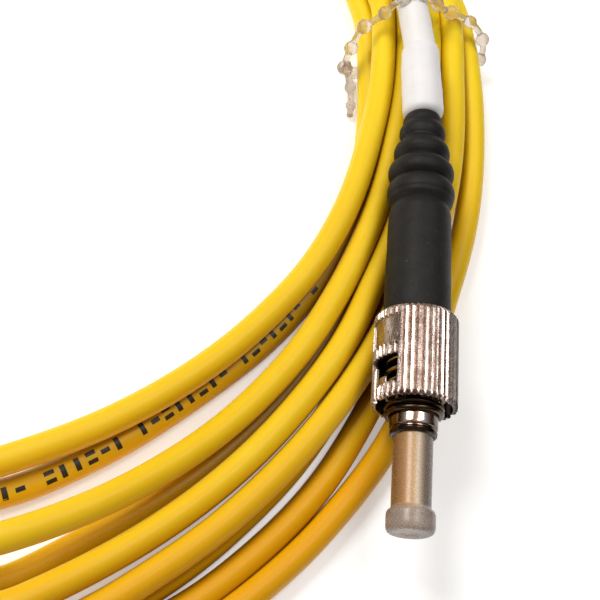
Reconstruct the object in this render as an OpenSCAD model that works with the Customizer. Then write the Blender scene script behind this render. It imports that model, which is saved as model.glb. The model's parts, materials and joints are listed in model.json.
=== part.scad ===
// Coiled simplex patch cord with a bayonet connector on each end.
// The coil lies flat on its surface at Z = 0, the two connectors lie on top
// of it, one on each side, and both point along -Y.
// Origin: on the surface, midway between the connectors.

/* [Cord] */
// Outer diameter of the jacket
cord_d = 3; // [2.8:0.1:3.2]
// Width of the coil inside its middle line
coil_in = 8.5; // [8:0.25:9]
// Width of the coil outside its middle line
coil_out = 8; // [7.5:0.25:8.5]
// Height of the coil where the strands lie two deep
coil_h = 5; // [4.8:0.1:5.4]

/* [Connector placing] */
// Distance of each connector's axis from the middle plane
conn_x = 43; // [42.5:0.25:43.5]
// Height of each connector's axis above the surface
conn_z = 9.3; // [9.3:0.1:11]
// Position along Y of the coupling nut's front rim
nut_y = -25; // [-26:0.5:-24]

/* [Coupling nut] */
// Diameter over the knurls
nut_d = 9; // [8.8:0.1:9.2]
// Length of the nut
nut_l = 10.1; // [10:0.1:10.2]
// Number of knurl ridges round the nut
knurls = 40; // [36:1:44]
// Depth of the knurls
knurl_h = 0.22; // [0.15:0.01:0.3]
// Inner diameter of the nut ahead of its rear wall
nut_bore = 7.2; // [7:0.1:7.4]

/* [Barrel and ferrule] */
// Diameter of the chromed front barrel
barrel_d = 5.04; // [5:0.02:5.06]
// Diameter of the ceramic ferrule
ferrule_d = 2.5; // [2.49:0.01:2.5]

/* [Dust cap] */
// Outer diameter of the cap's tube
cap_d = 4.1; // [3.9:0.1:4.3]
// Diameter of the cap's closed head
cap_head_d = 4.95; // [4.6:0.05:5.2]
// Distance of the cap's closed end ahead of the nut's rim
cap_reach = 13; // [12.8:0.1:13.2]

/* [Boot and markers] */
// Diameter of the boot at the nut
boot_d = 7.24; // [7:0.02:7.3]
// Distance of the boot's tip behind the nut's rim
boot_end = 36.5; // [36.4:0.1:36.8]
// Diameter of the white marker sleeve
sleeve_d = 4.75; // [4.6:0.05:4.8]
// Diameter of the white label wrap
label_d = 3.4; // [3.4:0.05:3.6]

/* [Beaded ties] */
// Diameter of the tie's beads
bead_d = 1.7; // [1.4:0.1:1.9]
// Diameter of the tie's links between beads
link_d = 0.8; // [0.7:0.1:0.9]

/* [Hidden] */
$fn = 64;

// Spring: wire, mean radius, ends along the axis, turns
spring_wire = 0.5;
spring_r = 2.9;
spring_from = 0.62;
spring_to = 8.25;
spring_turns = 7;
// Angle of the bayonet window round the axis, from +Z towards -X
window_at = 61;
// Angle of the plain panel round the axis, from +Z towards -X
panel_at = 72;
// Route of the lead, side +1: from the crimp, through boot, sleeve and label, into the coil
lead_route = [
    [43, -4, 9.3], [43, 4, 9.3], [43, 11.5, 9.3], [42.55, 18, 9.3],
    [42.25, 22, 9.3], [40.7, 31, 9], [39.45, 38, 8.8], [36.6, 44, 7.9],
    [33, 49, 6.3], [29.5, 53, 4.8], [26, 56, 3.6]];
// Middle line of the coil
coil_route = [
    [45, 13], [41.5, 34], [29, 52], [9, 61.5], [-13.5, 59.5], [-34, 44], [-42, 19.5],
    [-45, -11], [-38.5, -31.5], [-21.5, -45], [1, -45.5], [23.5, -33.5], [39.5, -13]];
// Loop of the beaded tie, side +1, one bead at each point
tie_route = [
    [34.6, 22.0, 5.2], [35.5, 24.3, 7.1], [37.2, 25.6, 8.1], [39.1, 27.2, 9.9],
    [41.2, 28.0, 11.9], [43.7, 28.5, 10.1], [45.9, 29.2, 8.3], [48.2, 29.6, 7.4],
    [50.2, 29.2, 6.9], [52.0, 28.4, 5.4], [52.7, 27.6, 3.1], [51.6, 26.8, 0.85],
    [48.2, 26.0, 0.85], [44.7, 25.2, 0.85], [41.2, 24.3, 0.85], [37.7, 23.0, 0.85],
    [35.3, 21.9, 1.3], [34.6, 21.4, 3.2]];
// Tail of the tie beyond its head
tie_tail = [[34.6, 18.4, 1.6], [34.7, 16.0, 1.2], [34.9, 13.6, 1.0]];
// Boot outline: distance behind the rim, radius
boot_outline = [
    [10.35, boot_d/2], [22.6, 3.5], [23.4, 3.45], [24.1, 3.3], [24.8, 3.66],
    [25.6, 3.82], [26.4, 3.66], [27.0, 3.3], [27.7, 3.6], [28.4, 3.74],
    [29.1, 3.5], [29.8, 2.9], [30.6, 3.12], [31.4, 3.2], [32.1, 2.95],
    [32.6, 2.45], [33.4, 2.62], [34.2, 2.66], [34.9, 2.45], [35.3, 2.14],
    [36.1, 2.05], [boot_end, 1.7]];

// Axis-aligned placing: local Z becomes +Y, local origin on the nut's rim plane
module seat(side) translate([side * conn_x, nut_y, conn_z]) rotate([-90, 0, 0]) children();
// Turn a thing that lies along local Z so that its local +Y side faces the angle from +Z towards -X
module facing(a) rotate([0, 0, -180 - a]) children();

function unit(v) = v / norm(v);
function along(p, i) = unit(p[min(i + 1, len(p) - 1)] - p[max(i - 1, 0)]);
function flip(p, side) = [for (q = p) [side * q[0], q[1], q[2]]];

// Solid swept along the points p with an n-sided round section of radius r
module sweep(p, r, n, up = [0, 0, 1]) {
    m = len(p);
    pts = [for (i = [0 : m - 1])
        let (t = along(p, i), s = unit(cross(t, up)), w = cross(s, t))
        for (k = [0 : n - 1])
            p[i] + r * (cos(360 * (k + 0.5) / n) * s + sin(360 * (k + 0.5) / n) * w)];
    sides = [for (i = [0 : m - 2]) for (k = [0 : n - 1])
        [i * n + k, (i + 1) * n + k, (i + 1) * n + (k + 1) % n, i * n + (k + 1) % n]];
    ends = [[for (k = [0 : n - 1]) k], [for (k = [n - 1 : -1 : 0]) (m - 1) * n + k]];
    polyhedron(points = pts, faces = concat(sides, ends), convexity = 8);
}

// Beaded loop through the points p, closed on itself: a bead at each point,
// a thin link between, all one sweep whose radius swells at the beads
module beaded_loop(p, side) {
    m = len(p);
    n = 8;
    shape = [[-0.46, 0.42], [-0.3, 0.82], [-0.1, 1], [0.1, 1], [0.3, 0.82], [0.46, 0.42], [1, 0]];
    rings = [for (i = [0 : m - 1]) for (q = shape)
        let (a = p[(i - 1 + m) % m], b = p[i], c = p[(i + 1) % m], e = p[(i + 2) % m],
             back = q[0] < 0,
             mid = q[1] == 0,
             at = mid ? (b + c) / 2 : b + q[0] * bead_d * unit(c - a) ,
             dir = mid ? unit(c - b) : unit(c - a))
        [at, dir, mid ? link_d / 2 : q[1] * bead_d / 2]];
    pts = [for (g = rings)
        let (s = unit(cross(g[1], [0, 1, 0.2])), w = cross(s, g[1]))
        for (k = [0 : n - 1])
            g[0] + g[2] * (cos(360 * k / n) * s + sin(360 * k / n) * w)];
    t = len(rings);
    faces = [for (i = [0 : t - 1]) for (k = [0 : n - 1])
        let (j = (i + 1) % t)
        side > 0 ? [i * n + k, j * n + k, j * n + (k + 1) % n, i * n + (k + 1) % n]
                 : [i * n + (k + 1) % n, j * n + (k + 1) % n, j * n + k, i * n + k]];
    polyhedron(points = pts, faces = faces, convexity = 8);
}

// Closed smooth line through the points p, k steps between each two
function loop_line(p, k) = let (n = len(p)) [for (i = [0 : n - 1]) for (j = [0 : k - 1])
    let (t = j / k, a = p[(i - 1 + n) % n], b = p[i], c = p[(i + 1) % n], e = p[(i + 2) % n])
    0.5 * (2 * b + t * (c - a) + t * t * (2 * a - 5 * b + 4 * c - e)
           + t * t * t * (3 * b - a - 3 * c + e))];
// The line p moved outwards by d
function beside(p, d) = let (n = len(p)) [for (i = [0 : n - 1])
    let (v = unit(p[(i + 1) % n] - p[(i - 1 + n) % n])) p[i] + d * [v[1], -v[0]]];

// Straight round bar from a to b
module bar(a, b, d) {
    v = b - a;
    translate(a) rotate([0, acos(v[2] / norm(v)), atan2(v[1], v[0])])
        cylinder(h = norm(v), d = d, $fn = 24);
}

module dust_cap(side) color("gainsboro") seat(side)
    rotate_extrude() polygon([
        [0, -cap_reach + 0.25], [0.9, -cap_reach + 0.12], [1.4, -cap_reach],
        [cap_head_d/2 - 0.5, -cap_reach], [cap_head_d/2 - 0.15, -cap_reach + 0.15],
        [cap_head_d/2, -cap_reach + 0.5], [cap_head_d/2, -cap_reach + 1.9],
        [cap_head_d/2 - 0.15, -cap_reach + 2.2], [cap_d/2, -cap_reach + 2.35],
        [cap_d/2, -2.56], [ferrule_d/2 + 0.03, -2.56],
        [ferrule_d/2 + 0.03, -10.2], [0, -10.2]]);

module ferrule(side) color("ivory") seat(side)
    rotate_extrude() polygon([
        [0.07, -9.6], [0.9, -9.6], [ferrule_d/2, -9.3], [ferrule_d/2, 4],
        [0.5, 4], [0.5, 3], [0.07, 2.4]]);

module front_barrel(side) color("silver") seat(side)
    rotate_extrude() polygon([
        [ferrule_d/2, -2.5], [2.2, -2.5], [2.3, -2.4], [2.3, -2.15], [barrel_d/2, -2.0],
        [barrel_d/2, 9.5], [0.5, 9.5], [0.5, 4], [ferrule_d/2, 4]]);

module retaining_ring(side) color("dimgray") seat(side)
    difference() {
        translate([0, 0, 0.1]) cylinder(h = 0.45, d = 5.9);
        translate([0, 0, 0]) cylinder(h = 1, d = barrel_d);
    }

module spring(side) color("darkgoldenrod") seat(side)
    sweep([for (i = [0 : spring_turns * 16])
        let (a = 360 * i / 16, s = i / (spring_turns * 16))
        [spring_r * cos(a), spring_r * sin(a),
         spring_from + spring_wire/2 + s * (spring_to - spring_from - spring_wire)]],
        spring_wire/2, 6);

module thrust_washer(side) color("lightgray") seat(side)
    difference() {
        translate([0, 0, 8.27]) cylinder(h = 0.3, d = 6.8);
        translate([0, 0, 8]) cylinder(h = 1, d = barrel_d + 0.1);
    }

module coupling_nut(side) color("tan") seat(side)
    difference() {
        linear_extrude(nut_l) polygon([for (i = [0 : 2 * knurls - 1])
            let (r = nut_d/2 - (i % 2) * knurl_h, a = 180 * i / knurls)
            [r * cos(a), r * sin(a)]]);
        translate([0, 0, -1]) cylinder(h = 9.6, d = nut_bore);
        translate([0, 0, 8]) cylinder(h = 3, d = barrel_d + 0.12);
        for (turn = [0, 180]) {
            // window where the socket's pin locks
            facing(window_at + turn) translate([-1.5, 3.1, 1.55]) cube([3, 2, 3.05]);
            // groove that lets the pin in under the front bridge
            facing(window_at + turn) translate([-0.8, 3.1, -1]) cube([1.6, 0.9, 3]);
            // shallow plain panel behind the window
            facing(panel_at + turn) intersection() {
                translate([-2.4, 3, 5.9]) cube([4.8, 2, 3.2]);
                difference() {
                    translate([0, 0, 5.9]) cylinder(h = 3.2, d = nut_d + 2);
                    translate([0, 0, 5]) cylinder(h = 5, d = nut_d - 0.64);
                }
            }
        }
    }

module rear_body(side) color("darkgray") seat(side)
    rotate_extrude() polygon([
        [0.5, 9.5], [2.46, 9.5], [2.46, 11.2], [1.7, 11.2], [1.7, 17.8], [0.5, 17.8]]);

module crimp_sleeve(side) color("silver") seat(side)
    rotate_extrude() polygon([
        [1.7, 12], [2.3, 12], [2.3, 18.2], [2.0, 18.6], [2.0, 21.8],
        [1.56, 21.8], [1.56, 18], [1.7, 17.8]]);

module buffer_tube(side) color("khaki") seat(side)
    rotate_extrude() polygon([[0, 4.05], [0.45, 4.05], [0.45, 20.9], [0, 20.9]]);

module boot(side) color("black") seat(side)
    rotate_extrude() polygon(concat(
        [[2.6, 10.35]], [for (q = boot_outline) [q[1], q[0]]],
        [[1.56, boot_end], [1.56, 22.4], [2.32, 21.9], [2.32, 11.4], [2.6, 11.3]]));

module round_sleeve(a, b, d, bore) {
    v = b - a;
    translate(a) rotate([0, acos(v[2] / norm(v)), atan2(v[1], v[0])]) difference() {
        cylinder(h = norm(v), d = d);
        translate([0, 0, -1]) cylinder(h = norm(v) + 2, d = bore);
    }
}

module marker_sleeve(side) color("white")
    round_sleeve([side * lead_route[2][0], lead_route[2][1] + 0.08, conn_z],
                 [side * lead_route[4][0], lead_route[4][1] - 0.08, conn_z], sleeve_d, 3.1);

module label_wrap(side) color("whitesmoke")
    round_sleeve([side * lead_route[4][0], lead_route[4][1] + 0.2, conn_z],
                 [side * lead_route[6][0], lead_route[6][1], lead_route[6][2]], label_d, 3.04);

module cable_tie(side) color("whitesmoke") beaded_loop(flip(tie_route, side), side);

module tie_head(side) color("whitesmoke") {
    t = flip(tie_tail, side);
    union() {
        translate([side * 34.6 - 0.8, 18.2, 0.9]) cube([1.6, 3.4, 3.4]);
        for (q = [t[1], t[2]]) translate(q) sphere(d = bead_d - 0.1, $fn = 24);
        bar(t[0], t[1], link_d);
        bar(t[1], t[2], link_d);
    }
}

module cord_coil() color("gold") {
    line = loop_line(coil_route, 6);
    difference() {
        union() {
            linear_extrude(3) difference() {
                polygon(beside(line, coil_out));
                polygon(beside(line, -coil_in));
            }
            linear_extrude(coil_h) difference() {
                polygon(beside(line, -3.8));
                polygon(beside(line, -coil_in));
            }
        }
        // room for the ties where they pass beneath
        for (side = [-1, 1]) translate([side * 43.7 - 12, 20.4, -1]) cube([24, 8.6, 2.75]);
    }
}

module cord_lead(side) color("gold") sweep(flip(lead_route, side), cord_d/2, 8);

dust_cap(1);  // dust_cap_a
ferrule(1);  // ferrule_a
front_barrel(1);  // front_barrel_a
retaining_ring(1);  // retaining_ring_a
spring(1);  // spring_a
thrust_washer(1);  // thrust_washer_a
coupling_nut(1);  // coupling_nut_a
rear_body(1);  // rear_body_a
crimp_sleeve(1);  // crimp_sleeve_a
buffer_tube(1);  // buffer_tube_a
boot(1);  // boot_a
marker_sleeve(1);  // marker_sleeve_a
label_wrap(1);  // label_wrap_a
cable_tie(1);  // cable_tie_a
tie_head(1);  // tie_head_a
dust_cap(-1);  // dust_cap_b
ferrule(-1);  // ferrule_b
front_barrel(-1);  // front_barrel_b
retaining_ring(-1);  // retaining_ring_b
spring(-1);  // spring_b
thrust_washer(-1);  // thrust_washer_b
coupling_nut(-1);  // coupling_nut_b
rear_body(-1);  // rear_body_b
crimp_sleeve(-1);  // crimp_sleeve_b
buffer_tube(-1);  // buffer_tube_b
boot(-1);  // boot_b
marker_sleeve(-1);  // marker_sleeve_b
label_wrap(-1);  // label_wrap_b
cable_tie(-1);  // cable_tie_b
tie_head(-1);  // tie_head_b
cord_coil();
cord_lead(1);  // cord_lead_a
cord_lead(-1);  // cord_lead_b
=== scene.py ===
import bpy, bmesh, math, json
import numpy as np
from mathutils import Vector, Matrix

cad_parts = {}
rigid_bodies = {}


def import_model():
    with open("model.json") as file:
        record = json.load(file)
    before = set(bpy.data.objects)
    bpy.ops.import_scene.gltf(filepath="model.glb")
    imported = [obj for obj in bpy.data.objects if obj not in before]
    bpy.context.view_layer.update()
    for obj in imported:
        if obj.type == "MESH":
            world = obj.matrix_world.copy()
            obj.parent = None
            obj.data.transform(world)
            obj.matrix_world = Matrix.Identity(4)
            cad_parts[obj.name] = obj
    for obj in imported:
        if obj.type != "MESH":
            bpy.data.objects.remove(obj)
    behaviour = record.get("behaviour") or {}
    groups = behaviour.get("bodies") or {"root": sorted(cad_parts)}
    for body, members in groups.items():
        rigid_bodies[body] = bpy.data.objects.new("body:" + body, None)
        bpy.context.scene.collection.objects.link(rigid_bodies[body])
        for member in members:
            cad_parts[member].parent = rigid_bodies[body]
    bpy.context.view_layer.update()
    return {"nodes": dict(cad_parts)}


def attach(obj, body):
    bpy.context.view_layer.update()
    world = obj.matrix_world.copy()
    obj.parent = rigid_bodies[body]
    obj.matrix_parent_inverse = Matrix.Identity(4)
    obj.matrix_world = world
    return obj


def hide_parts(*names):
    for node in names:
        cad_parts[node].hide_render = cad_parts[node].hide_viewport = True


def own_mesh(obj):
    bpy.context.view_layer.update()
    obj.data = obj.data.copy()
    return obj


for o in list(bpy.data.objects):            # the default cube, light and camera
    bpy.data.objects.remove(o, do_unlink=True)
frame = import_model()
MM = 0.001
CX, NUT_Y, CZ = 43.0, -25.0, 9.3          # connector axis and nut rim, mm
JACKET_R = 1.5
ROUND_C, ROUND_R = (-15.75, 13.0), 61.0     # centre and radius of the coil's round side

# ------------------------------------------------------------------ camera
cam_data = bpy.data.cameras.new("camera")
cam = bpy.data.objects.new("camera", cam_data)
bpy.context.collection.objects.link(cam)
cam_data.sensor_width = 36.0
cam_data.lens = 66.6
cam_data.clip_start = 0.005
cam_data.clip_end = 5.0
right = Vector((0.967767, 0.074300, 0.240636))
down = Vector((0.171708, -0.893641, -0.414634))
fwd = Vector((0.184235, 0.442588, -0.877595))
m = Matrix.Identity(4)
for i in range(3):
    m[i][0], m[i][1], m[i][2] = right[i], -down[i], -fwd[i]
m.translation = Vector((8.78, -66.27, 111.06)) * MM
cam.matrix_world = m
bpy.context.scene.camera = cam
bpy.context.scene.view_settings.view_transform = "Standard"


# ------------------------------------------------------------------ helpers
def link(obj):
    bpy.context.collection.objects.link(obj)
    return obj


def mesh_obj(name, verts, faces, mat=None, smooth=True, sharp=35.0, uvs=None):
    """verts in mm"""
    me = bpy.data.meshes.new(name)
    me.from_pydata([tuple(c * MM for c in v) for v in verts], [], [tuple(f) for f in faces])
    if uvs is not None:
        layer = me.uv_layers.new(name="lay")
        for loop in me.loops:
            layer.data[loop.index].uv = uvs[loop.vertex_index]
    me.validate()
    bm = bmesh.new()
    bm.from_mesh(me)
    bmesh.ops.recalc_face_normals(bm, faces=bm.faces)
    bm.to_mesh(me)
    bm.free()
    if smooth:
        me.shade_smooth()
        if sharp is not None:
            me.set_sharp_from_angle(angle=math.radians(sharp))
    obj = bpy.data.objects.new(name, me)
    if mat:
        me.materials.append(mat)
    return link(obj)


def fillet(pts, rad, n=4):
    """rounds the inner corners of an open outline of (u, r) points"""
    out = [pts[0]]
    for i in range(1, len(pts) - 1):
        p0, p1, p2 = (np.array(q, float) for q in (pts[i - 1][:2], pts[i][:2], pts[i + 1][:2]))
        a, b = p0 - p1, p2 - p1
        la, lb = np.linalg.norm(a), np.linalg.norm(b)
        k = min(rad if len(pts[i]) < 3 else pts[i][2], la * 0.45, lb * 0.45)
        if k < 1e-4:
            out.append(tuple(p1))
            continue
        s, e = p1 + a / la * k, p1 + b / lb * k
        for j in range(n + 1):
            t = j / n
            q = (1 - t) ** 2 * s + 2 * t * (1 - t) * p1 + t ** 2 * e
            out.append(tuple(q))
    out.append(pts[-1][:2])
    return out


def seat(side, u, x, z):
    """from the connector's own axis: u behind the nut's rim, x right, z up"""
    return (side * CX + x, NUT_Y + u, CZ + z)


def lathe(name, outline, side, mat, segs=96, closed=True, wobble=None, sharp=35.0):
    """outline: (u, r) points, turned about the connector's axis. closed joins last to first."""
    verts, faces = [], []
    n = len(outline)
    rings = []
    for u, r in outline:
        if r < 1e-6:
            rings.append([len(verts)])
            verts.append(seat(side, u, 0, 0))
        else:
            ring = []
            for k in range(segs):
                a = 2 * math.pi * k / segs
                rr = r if wobble is None else r + wobble(a, u, r)
                ring.append(len(verts))
                verts.append(seat(side, u, rr * math.sin(a), rr * math.cos(a)))
            rings.append(ring)
    pairs = [(i, i + 1) for i in range(n - 1)] + ([(n - 1, 0)] if closed else [])
    for i, j in pairs:
        A, B = rings[i], rings[j]
        if len(A) == 1 and len(B) == 1:
            continue
        for k in range(segs):
            k2 = (k + 1) % segs
            if len(A) == 1:
                faces.append((A[0], B[k], B[k2]))
            elif len(B) == 1:
                faces.append((A[k], B[0], A[k2]))
            else:
                faces.append((A[k], B[k], B[k2], A[k2]))
    return mesh_obj(name, verts, faces, mat, sharp=sharp)


def tube(name, P, radius, sides, mat, closed=False, caps=True, up=(0, 0, 1), shape=None, sharp=None):
    """mesh tube along the points P (mm). radius is a number or one per point."""
    P = np.asarray(P, float)
    n = len(P)
    T = np.empty_like(P)
    if closed:
        T = np.roll(P, -1, 0) - np.roll(P, 1, 0)
    else:
        T[1:-1] = P[2:] - P[:-2]
        T[0], T[-1] = P[1] - P[0], P[-1] - P[-2]
    T /= np.linalg.norm(T, axis=1)[:, None]
    U = np.array(up, float)
    S = np.cross(T, U)
    S /= np.linalg.norm(S, axis=1)[:, None]
    Wv = np.cross(S, T)
    R = np.broadcast_to(np.asarray(radius, float), (n,))
    ang = 2 * np.pi * np.arange(sides) / sides
    prof = np.ones(sides) if shape is None else shape(ang)
    V = (P[:, None, :] + R[:, None, None] * prof[None, :, None] *
         (np.cos(ang)[None, :, None] * Wv[:, None, :] + np.sin(ang)[None, :, None] * S[:, None, :]))
    L = np.concatenate([[0], np.cumsum(np.linalg.norm(np.diff(P, axis=0), axis=1))])
    uvs = [(L[i], k / sides) for i in range(n) for k in range(sides)]
    V = V.reshape(-1, 3)
    faces = []
    rng = range(n) if closed else range(n - 1)
    for i in rng:
        i2 = (i + 1) % n
        for k in range(sides):
            k2 = (k + 1) % sides
            faces.append((i * sides + k, i2 * sides + k, i2 * sides + k2, i * sides + k2))
    if caps and not closed:
        faces.append(tuple(range(sides)))
        faces.append(tuple((n - 1) * sides + k for k in reversed(range(sides))))
    return mesh_obj(name, V.tolist(), faces, mat, sharp=sharp, uvs=uvs)


def smooth_line(P, step, closed=False):
    """Catmull-Rom through P, resampled about every step mm"""
    P = np.asarray(P, float)
    n = len(P)
    out = []
    segs = n if closed else n - 1
    for i in range(segs):
        p1, p2 = P[i], P[(i + 1) % n]
        p0 = P[i - 1] if (closed or i > 0) else 2 * p1 - p2
        p3 = P[(i + 2) % n] if (closed or i + 2 < n) else 2 * p2 - p1
        k = max(1, int(round(np.linalg.norm(p2 - p1) / step)))
        for j in range(k):
            t = j / k
            out.append(0.5 * ((2 * p1) + (-p0 + p2) * t + (2 * p0 - 5 * p1 + 4 * p2 - p3) * t ** 2
                              + (-p0 + 3 * p1 - 3 * p2 + p3) * t ** 3))
    if not closed:
        out.append(P[-1])
    return np.array(out)


# ------------------------------------------------------------------ materials
def new_mat(name):
    mat = bpy.data.materials.new(name)
    mat.use_nodes = True
    nt = mat.node_tree
    return mat, nt, nt.nodes["Principled BSDF"]


def node(nt, kind, **kw):
    nd = nt.nodes.new(kind)
    for k, v in kw.items():
        if k.startswith("i_"):
            nd.inputs[int(k[2:])].default_value = v
        elif k.startswith("n_"):
            nd.inputs[k[2:].replace("_", " ")].default_value = v
        else:
            setattr(nd, k, v)
    return nd


def coords(nt, scale=1.0):
    """object coordinates in millimetres"""
    tc = node(nt, "ShaderNodeTexCoord")
    mp = node(nt, "ShaderNodeMapping")
    mp.inputs["Scale"].default_value = (1000 * scale,) * 3
    nt.links.new(tc.outputs["Object"], mp.inputs["Vector"])
    return mp.outputs["Vector"]


def noise(nt, vec, scale, detail=3.0, rough=0.5):
    nd = node(nt, "ShaderNodeTexNoise")
    nd.inputs["Scale"].default_value = scale
    nd.inputs["Detail"].default_value = detail
    nd.inputs["Roughness"].default_value = rough
    nt.links.new(vec, nd.inputs["Vector"])
    return nd.outputs["Fac"]


def ramp(nt, fac, stops, interp="LINEAR"):
    nd = node(nt, "ShaderNodeValToRGB")
    cr = nd.color_ramp
    cr.interpolation = interp
    while len(cr.elements) > 1:
        cr.elements.remove(cr.elements[-1])
    cr.elements[0].position, cr.elements[0].color = stops[0][0], (*stops[0][1], 1)
    for pos, col in stops[1:]:
        e = cr.elements.new(pos)
        e.color = (*col, 1)
    nt.links.new(fac, nd.inputs["Fac"])
    return nd.outputs["Color"]


def remap(nt, fac, a, b, lo, hi):
    nd = node(nt, "ShaderNodeMapRange")
    for k, v in zip(("From Min", "From Max", "To Min", "To Max"), (a, b, lo, hi)):
        nd.inputs[k].default_value = v
    nt.links.new(fac, nd.inputs["Value"])
    return nd.outputs["Result"]


def math_node(nt, op, a, b=None):
    nd = node(nt, "ShaderNodeMath", operation=op)
    for i, v in enumerate((a, b)):
        if v is None:
            continue
        if isinstance(v, (int, float)):
            nd.inputs[i].default_value = v
        else:
            nt.links.new(v, nd.inputs[i])
    return nd.outputs[0]


def bump(nt, bsdf, height, dist_mm, strength=1.0, prev=None):
    nd = node(nt, "ShaderNodeBump")
    nd.inputs["Strength"].default_value = strength
    nd.inputs["Distance"].default_value = dist_mm * MM
    nt.links.new(height, nd.inputs["Height"])
    if prev is not None:
        nt.links.new(prev, nd.inputs["Normal"])
    nt.links.new(nd.outputs["Normal"], bsdf.inputs["Normal"])
    return nd.outputs["Normal"]


def srgb(r, g, b):
    f = lambda c: (c / 255 / 12.92) if c / 255 <= 0.04045 else ((c / 255 + 0.055) / 1.055) ** 2.4
    return (f(r), f(g), f(b))


def mat_jacket():
    """satin yellow: fine orange-peel, faint scuffs, painted shade as deeper orange on the low front turns and the
    outermost front turns and as dark brown down in the crevices, and a painted light lemon tint on the upper turns
    """
    mat, nt, b = new_mat("yellow_jacket")
    v = coords(nt)
    n1 = noise(nt, v, 0.08, 3)
    n2 = noise(nt, v, 1.6, 4)
    col = ramp(nt, n1, [(0.3, (0.88, 0.55, 0.008)), (0.5, (0.90, 0.58, 0.010)), (0.72, (0.92, 0.61, 0.016))])
    sep = node(nt, "ShaderNodeSeparateXYZ")
    nt.links.new(v, sep.inputs[0])
    dx = math_node(nt, "SUBTRACT", sep.outputs["X"], ROUND_C[0])
    dy = math_node(nt, "SUBTRACT", sep.outputs["Y"], ROUND_C[1])
    rad = math_node(nt, "SQRT", math_node(nt, "ADD", math_node(nt, "MULTIPLY", dx, dx), math_node(nt, "MULTIPLY", dy, dy)))
    # painted shade: the outermost front turns and the low front turns get a deeper orange
    outer_turn_shade = math_node(nt, "MULTIPLY", remap(nt, rad, 62.0, 69.0, 0.0, 1.0), remap(nt, sep.outputs["Y"], -14.0, -32.0, 0.0, 1.0))
    low = math_node(nt, "MULTIPLY", remap(nt, sep.outputs["Z"], 4.6, 1.2, 0.0, 0.55), remap(nt, sep.outputs["Y"], -14.0, -32.0, 0.0, 1.0))
    # painted light: the upper turns are mixed towards a brighter lemon yellow
    upper_light_mix = node(nt, "ShaderNodeMix", data_type="RGBA")
    upper_light_mix.inputs["B"].default_value = (0.95, 0.68, 0.014, 1)
    nt.links.new(col, upper_light_mix.inputs["A"])
    nt.links.new(remap(nt, sep.outputs["Y"], -2.0, 24.0, 0.0, 0.85), upper_light_mix.inputs["Factor"])
    orange_shade_mix = node(nt, "ShaderNodeMix", data_type="RGBA")
    orange_shade_mix.inputs["B"].default_value = (0.82, 0.405, 0.002, 1)
    nt.links.new(upper_light_mix.outputs["Result"], orange_shade_mix.inputs["A"])
    nt.links.new(math_node(nt, "MAXIMUM", outer_turn_shade, low), orange_shade_mix.inputs["Factor"])
    n3 = noise(nt, v, 0.9, 5, 0.7)
    mx = node(nt, "ShaderNodeMix", data_type="RGBA")
    mx.inputs["B"].default_value = (0.62, 0.36, 0.03, 1)
    nt.links.new(orange_shade_mix.outputs["Result"], mx.inputs["A"])
    nt.links.new(remap(nt, n3, 0.70, 0.80, 0.0, 0.35), mx.inputs["Factor"])
    # painted shade: dark brown down in the crevices, found by ambient occlusion, with less of it on the upper turns
    ao = node(nt, "ShaderNodeAmbientOcclusion", samples=8)
    ao.inputs["Distance"].default_value = 4.5 * MM
    dust_and_shade_mix = node(nt, "ShaderNodeMix", data_type="RGBA")
    dust_and_shade_mix.inputs["B"].default_value = (0.30, 0.12, 0.001, 1)
    nt.links.new(mx.outputs["Result"], dust_and_shade_mix.inputs["A"])
    nt.links.new(math_node(nt, "MULTIPLY", remap(nt, ao.outputs["AO"], 0.62, 0.10, 0.0, 1.0), remap(nt, sep.outputs["Y"], 20.0, -6.0, 0.45, 1.0)),
                 dust_and_shade_mix.inputs["Factor"])
    nt.links.new(dust_and_shade_mix.outputs["Result"], b.inputs["Base Color"])
    nt.links.new(remap(nt, n2, 0.3, 0.7, 0.36, 0.46), b.inputs["Roughness"])
    b.inputs["IOR"].default_value = 1.45
    b.inputs["Specular IOR Level"].default_value = 0.3
    b.inputs["Subsurface Weight"].default_value = 0.4
    b.inputs["Subsurface Radius"].default_value = (1.0, 0.42, 0.06)
    b.inputs["Subsurface Scale"].default_value = 1.4 * MM
    bump(nt, b, n2, 0.03, 0.35)
    return mat


def mat_metal(name, lo, hi, r0, r1, scale=3.0, bump_mm=0.02, streak=None, pit=None):
    mat, nt, b = new_mat(name)
    b.inputs["Metallic"].default_value = 1.0
    v = coords(nt)
    if streak:
        mp = node(nt, "ShaderNodeMapping")
        mp.inputs["Scale"].default_value = streak
        nt.links.new(v, mp.inputs["Vector"])
        vv = mp.outputs["Vector"]
    else:
        vv = v
    n1 = noise(nt, vv, scale, 4, 0.6)
    n2 = noise(nt, v, 0.5, 3)
    col = ramp(nt, n2, [(0.32, lo), (0.68, hi)])
    nt.links.new(col, b.inputs["Base Color"])
    nt.links.new(remap(nt, n1, 0.3, 0.7, r0, r1), b.inputs["Roughness"])
    nrm = bump(nt, b, n1, bump_mm, 0.5)
    if pit:
        n3 = noise(nt, v, pit, 5, 0.7)
        bump(nt, b, n3, bump_mm * 1.5, 0.6, nrm)
    return mat


def mat_plain(name, lo, hi, r0, r1, scale=0.6, fine=6.0, bump_mm=0.02, sss=0.0, trans=0.0, ior=1.45, spec=0.5,
              sss_radius=(1, 1, 1), sss_scale=0.001):
    mat, nt, b = new_mat(name)
    v = coords(nt)
    n1 = noise(nt, v, scale, 3)
    n2 = noise(nt, v, fine, 4)
    nt.links.new(ramp(nt, n1, [(0.3, lo), (0.7, hi)]), b.inputs["Base Color"])
    nt.links.new(remap(nt, n2, 0.3, 0.7, r0, r1), b.inputs["Roughness"])
    b.inputs["Subsurface Weight"].default_value = sss
    b.inputs["Subsurface Radius"].default_value = sss_radius
    b.inputs["Subsurface Scale"].default_value = sss_scale
    b.inputs["Transmission Weight"].default_value = trans
    b.inputs["IOR"].default_value = ior
    b.inputs["Specular IOR Level"].default_value = spec
    bump(nt, b, n2, bump_mm, 0.5)
    return mat


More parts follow.
